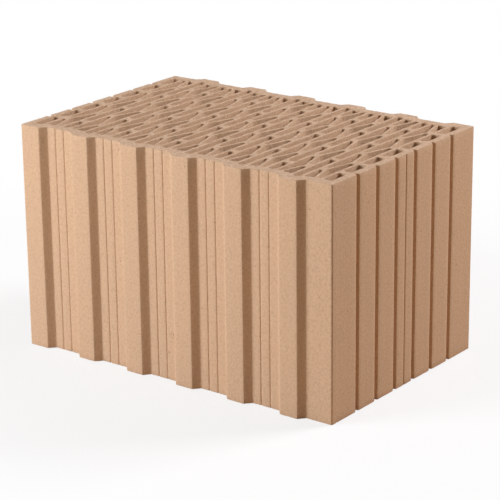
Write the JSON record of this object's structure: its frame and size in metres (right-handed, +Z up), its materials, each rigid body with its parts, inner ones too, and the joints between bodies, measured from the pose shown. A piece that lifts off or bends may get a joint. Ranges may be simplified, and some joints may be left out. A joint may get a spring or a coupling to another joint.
{
  "type": "clay block",
  "caption": "Fired clay wall block with upright perforations and interlocking ribs along both long sides, for a single-leaf masonry wall.",
  "frame": {"origin": "middle of the block's footprint, at the lower bed", "axes": "+X along the ribbed long sides, through the wall's thickness; +Y along the wall, from one ribbed side to the other; +Z up, along the holes"},
  "size_m": [0.38, 0.255, 0.238],
  "materials": {
    "fired_clay": "matte, unglazed, fine-pored"
  },
  "bodies": {
    "root": {"clay_block": "fired_clay"}
  },
  "joints": []
}
